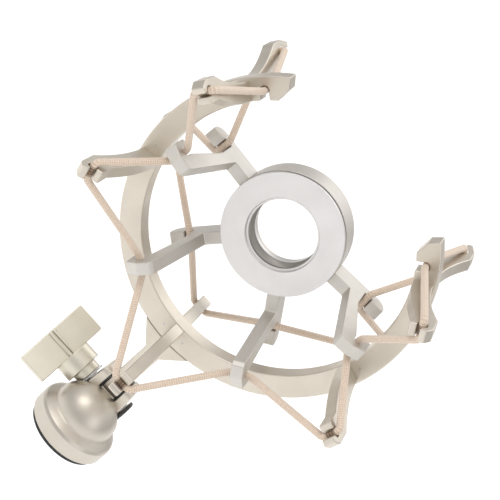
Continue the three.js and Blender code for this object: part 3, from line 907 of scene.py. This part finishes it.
def braided_tube(name, corners):
    """A cord whose surface stands up in crossing strands, pinched thinner near its ends, which also carry a
    painted shade value for the slots.
    """
    route = smooth_route(corners)
    tangents = np.gradient(route, axis=0)
    tangents /= np.linalg.norm(tangents, axis=1)[:, None]
    side = np.cross(tangents[0], (0.3, 0.5, 0.8))
    side /= np.linalg.norm(side)
    vertices = []
    uvs = []
    slot_shade_values = []
    rows = len(route)
    for row, (point, tangent) in enumerate(zip(route, tangents)):
        from_end = min(row, rows - 1 - row) * CORD_STEP
        # narrows the cord in the slots, and the same value darkens its colour there as painted shade
        pinch_and_slot_shade = min(1.0, max(0.0, (PINCH_AND_SHADE_LENGTH - from_end) / PINCH_AND_SHADE_FADE))
        side = side - tangent * np.dot(side, tangent)
        side /= np.linalg.norm(side)
        other = np.cross(tangent, side)
        along = row * CORD_STEP
        for column in range(CORD_SIDES):
            turn = column / CORD_SIDES
            run = 2 * math.pi * along / CORD_LAY
            lay = 2 * math.pi * turn * CORD_STRANDS
            relief = math.sin(run + lay) * math.sin(run - lay)
            radius = CORD_RADIUS - CORD_RELIEF + CORD_RELIEF * relief - PINCH_DEPTH * pinch_and_slot_shade
            slot_shade_values.append(pinch_and_slot_shade)
            angle = 2 * math.pi * turn
            vertices.append(point + radius * (math.cos(angle) * side + math.sin(angle) * other))
            uvs.append((turn, along))
    faces = []
    for row in range(rows - 1):
        for column in range(CORD_SIDES):
            after = (column + 1) % CORD_SIDES
            a = row * CORD_SIDES
            faces.append((a + column, a + after, a + CORD_SIDES + after, a + CORD_SIDES + column))
    faces.append(tuple(range(CORD_SIDES - 1, -1, -1)))
    faces.append(tuple(range((rows - 1) * CORD_SIDES, rows * CORD_SIDES)))
    obj = new_object(name, vertices, faces, 70.0, uvs)
    layer = obj.data.attributes.new("pinch_and_slot_shade", "FLOAT", "POINT")
    layer.data.foreach_set("value", slot_shade_values)
    return obj


def build_suspension_cord(name, from_bow, arm, to_bow, bow_w, arm_r, arm_w, material):
    """From the middle of one bow, round the hook of an arm, to the middle of the next bow."""
    way = math.copysign(1, to_bow - from_bow)
    bow_side = way * (BOW_HALF + BEND)
    arm_side = way * (ARM_HALF + BEND)
    cord = braided_tube(f"{name}_braid", [
        hub_point(BOW_CORD_R, bow_w, 0, from_bow),
        hub_point(BOW_CORD_R, bow_w, bow_side, from_bow),
        hub_point(arm_r, arm_w, -arm_side, arm),
        hub_point(arm_r, arm_w, arm_side, arm),
        hub_point(BOW_CORD_R, bow_w, -bow_side, to_bow),
        hub_point(BOW_CORD_R, bow_w, 0, to_bow),
    ])
    cord.data.materials.append(material)
    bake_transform(cord)
    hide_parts(name)


def build_end_cord(name, side, material):
    """From the last front fork, through the notch of the ring, to the rear fork."""
    bow = side * BOW_ANGLES[4]
    out = side * (BOW_HALF + BEND + 0.4)
    clear = RING_HALF + BEND
    tube = braided_tube(f"{name}_braid", [
        hub_point(BOW_CORD_R, BOW_FRONT_W, 0, bow),
        hub_point(BOW_CORD_R, BOW_FRONT_W, out, bow),
        hub_point(NOTCH_END, clear, 0, side * NOTCH_ANGLE),
        hub_point(NOTCH_END, -clear, 0, side * NOTCH_ANGLE),
        hub_point(BOW_CORD_R, -BOW_REAR_W, out, bow),
        hub_point(BOW_CORD_R, -BOW_REAR_W, 0, bow),
    ])
    finish_piece(tube, "frame", [name], material)


def build_cord():
    material = cord_material()
    for index, (arm_name, arm) in enumerate(zip(ARM_NAMES, ARM_ANGLES)):
        name = arm_name.replace("arm", "cord")
        bows = BOW_ANGLES[index], BOW_ANGLES[index + 1]
        build_suspension_cord(
            f"{name}_front", bows[0], arm, bows[1], BOW_FRONT_W, FRONT_CORD_R, FRONT_CORD_W, material
        )
        build_suspension_cord(
            f"{name}_rear", bows[0], arm, bows[1], -BOW_REAR_W, REAR_CORD_R, REAR_CORD_W, material
        )
    build_end_cord("cord_end_left", -1, material)
    build_end_cord("cord_end_right", 1, material)


# ---- small CAD pieces that stay -----------------------------------------------------------
def dress_node(node, material, bevel):
    """Gives a CAD node its material and softened rims."""
    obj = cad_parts[node]
    obj.data.materials.clear()
    obj.data.materials.append(material)
    weld = obj.modifiers.new("weld", "WELD")
    weld.merge_threshold = 1e-6
    soften(obj, bevel)


# ---- studio -------------------------------------------------------------------------------
def build_camera():
    camera = bpy.data.cameras.new("camera")
    camera.lens = CAMERA_LENS
    camera.sensor_width = 36.0
    camera.clip_start = 0.01
    obj = bpy.data.objects.new("camera", camera)
    right = PICTURE_RIGHT.normalized()
    down = (PICTURE_DOWN - right * PICTURE_DOWN.dot(right)).normalized()
    back = right.cross(-down)
    obj.matrix_world = frame_matrix(right, -down, back, CAMERA_PLACE)
    bpy.context.collection.objects.link(obj)
    bpy.context.scene.camera = obj


def area_light(name, place, aim, size, power, colour=(1, 1, 1)):
    """A square soft light that points at aim."""
    light = bpy.data.lights.new(name, "AREA")
    light.size = size
    light.energy = power
    light.color = colour
    obj = bpy.data.objects.new(name, light)
    obj.location = place
    obj.rotation_euler = (Vector(aim) - Vector(place)).to_track_quat("-Z", "Y").to_euler()
    bpy.context.collection.objects.link(obj)


def build_studio():
    size = 6.0
    corners = [(-size, -size), (size, -size), (size, size), (-size, size)]
    mesh = bpy.data.meshes.new("floor")
    mesh.from_pydata([(x, y, FLOOR_Z) for x, y in corners], [], [(0, 1, 2, 3)])
    floor = bpy.data.objects.new("floor", mesh)
    bpy.context.collection.objects.link(floor)
    mesh.materials.append(floor_material())
    middle = (0, 0, 0.1)
    area_light("key_light", (-0.7, -0.5, 1.1), middle, 0.7, 4.0)
    area_light("fill_light", (0.9, -0.8, 0.5), middle, 0.8, 1.5)
    area_light("back_light", (0.2, 1.0, 0.9), middle, 0.9, 2.6)
    world = bpy.data.worlds.new("studio")
    bpy.context.scene.world = world
    world.use_nodes = True
    tree = world.node_tree
    where = tree.nodes.new("ShaderNodeTexCoord")
    split = tree.nodes.new("ShaderNodeSeparateXYZ")
    ramp = tree.nodes.new("ShaderNodeValToRGB")
    tree.links.new(where.outputs["Generated"], split.inputs[0])
    tree.links.new(split.outputs["Z"], ramp.inputs["Fac"])
    ramp.color_ramp.elements[0].color = (0.45, 0.45, 0.46, 1.0)
    ramp.color_ramp.elements[1].color = (1.0, 1.0, 1.0, 1.0)
    ramp.color_ramp.elements[1].position = 0.75
    tree.links.new(ramp.outputs["Color"], tree.nodes["Background"].inputs["Color"])
    bpy.context.scene.view_settings.view_transform = "Standard"


# ---- everything ---------------------------------------------------------------------------
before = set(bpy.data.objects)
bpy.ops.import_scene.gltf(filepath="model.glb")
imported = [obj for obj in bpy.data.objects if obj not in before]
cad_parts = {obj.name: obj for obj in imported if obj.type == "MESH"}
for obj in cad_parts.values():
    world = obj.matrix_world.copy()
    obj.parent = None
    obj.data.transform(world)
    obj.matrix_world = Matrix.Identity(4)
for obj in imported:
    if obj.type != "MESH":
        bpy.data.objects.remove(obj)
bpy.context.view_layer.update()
build_camera()

hub_centre = (0.0, HINGE_Y * MM, HUB_Z * MM)
frame_metal = satin_metal("satin_nickel_frame", (0.63, 0.575, 0.495), (0.69, 0.635, 0.55), (0.34, 0.44))
cradle_metal = satin_metal("satin_nickel_cradle", (0.61, 0.58, 0.54), (0.67, 0.64, 0.59), (0.46, 0.56))
key_metal = satin_metal("satin_nickel_key", (0.66, 0.62, 0.52), (0.72, 0.68, 0.58), (0.36, 0.46))
base_metal = satin_metal("satin_base", (0.58, 0.53, 0.46), (0.63, 0.58, 0.51), (0.36, 0.44), 0.1)
nut_metal = turned_metal(
    "turned_nut", (0.72, 0.70, 0.69), (0.77, 0.75, 0.74), 1, hub_centre, (0.4, 0.5), stretch=0.2
)
# darker copy of the nut's metal for its thread: painted shade inside the deep bore
shaded_thread_metal = satin_metal("thread_with_painted_shade", (0.34, 0.32, 0.30), (0.42, 0.40, 0.37), (0.5, 0.6))
steel_metal = satin_metal("bright_steel", (0.46, 0.45, 0.44), (0.58, 0.57, 0.55), (0.25, 0.4))
brass_metal = satin_metal("plain_brass", (0.55, 0.40, 0.16), (0.66, 0.50, 0.24), (0.25, 0.4))
rubber = dark_material("black_rubber", (0.012, 0.012, 0.013), (0.03, 0.03, 0.032), (0.6, 0.8), 2500.0)
nylon = dark_material("black_nylon", (0.010, 0.010, 0.010), (0.022, 0.021, 0.020), (0.45, 0.6), 5000.0)
black_steel = dark_material("black_steel", (0.012, 0.011, 0.010), (0.04, 0.036, 0.03), (0.3, 0.45), 4000.0)

build_base(frame_metal, base_metal, rubber, brass_metal)
build_key(key_metal)
build_frame(frame_metal, steel_metal)
build_cradle(cradle_metal, nut_metal, shaded_thread_metal)
build_cord()
for node_name in ("liner_left", "liner_right"):
    dress_node(node_name, nylon, 0.12)
for node_name in ("clamp_bolt", "thrust_washer"):
    dress_node(node_name, steel_metal, 0.12)
dress_node("lock_nut", black_steel, 0.15)
build_studio()

bpy.context.view_layer.update()
